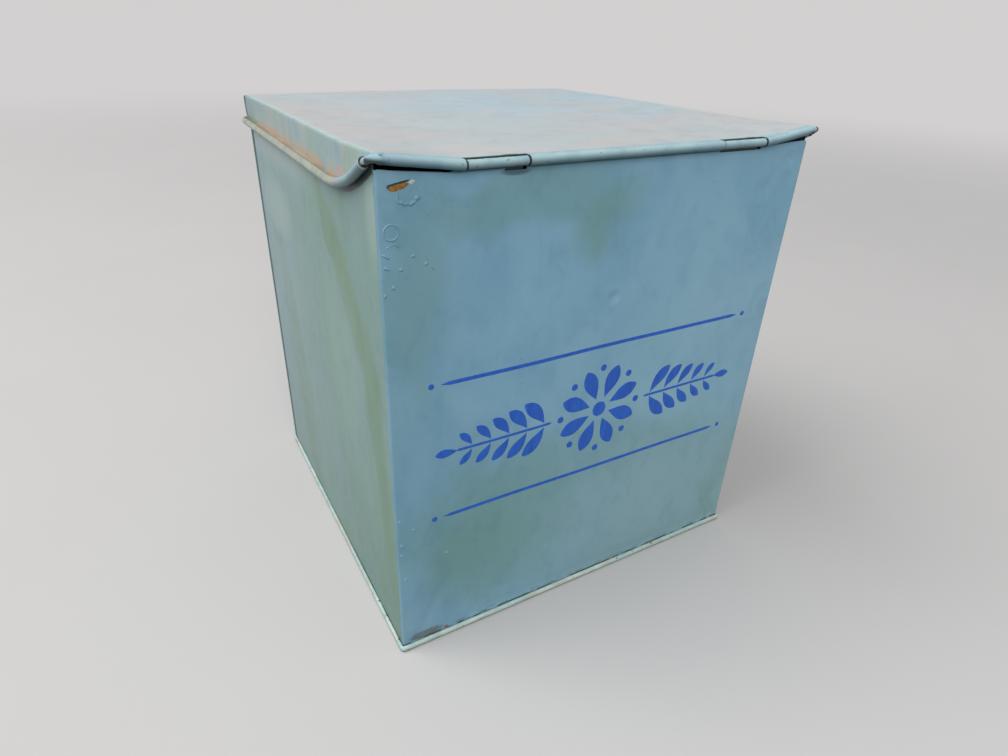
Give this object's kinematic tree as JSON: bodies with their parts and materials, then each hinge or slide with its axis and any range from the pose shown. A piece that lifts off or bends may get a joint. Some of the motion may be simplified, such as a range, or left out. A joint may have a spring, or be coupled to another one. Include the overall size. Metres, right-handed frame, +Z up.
{
  "type": "biscuit tin",
  "caption": "Square hand-painted tinplate biscuit tin, its wired lid hinged on looped straps along one top edge.",
  "frame": {"origin": "on the floor under the middle of the tin", "axes": "+Z up, the hinge side faces -Y, +X to the right when the hinge side is in front"},
  "size_m": [0.2648, 0.26, 0.2832],
  "materials": {
    "body_paint": "brushed-on satin house paint, pale blue-green, aged",
    "bottom_paint": "the same paint, worn over the folded seam",
    "lid_paint": "the same paint, paler and rubbed on the top",
    "strap_paint": "painted tinplate strap",
    "wire_steel": "drawn steel wire, dulled, paint at the corners",
    "solder": "dull tinned solder"
  },
  "bodies": {
    "tin": {"bottom_panel": "bottom_paint", "front_panel": "body_paint", "back_panel": "body_paint", "left_side_panel": "body_paint", "right_side_panel": "body_paint", "seam_solder": "solder", "bottom_solder": "solder", "hinge_strap_left": "strap_paint", "hinge_strap_right": "strap_paint", "strap_solder": "solder"},
    "lid": {"lid_sheet": "lid_paint", "lid_solder": "solder", "lid_wire": "wire_steel"}
  },
  "joints": [
    {"name": "lid_hinge", "type": "hinge", "parent": "tin", "child": "lid", "pos_m": [0, -0.1277, 0.2764], "axis": [1, 0, 0], "range_deg": [0, 180]}
  ]
}
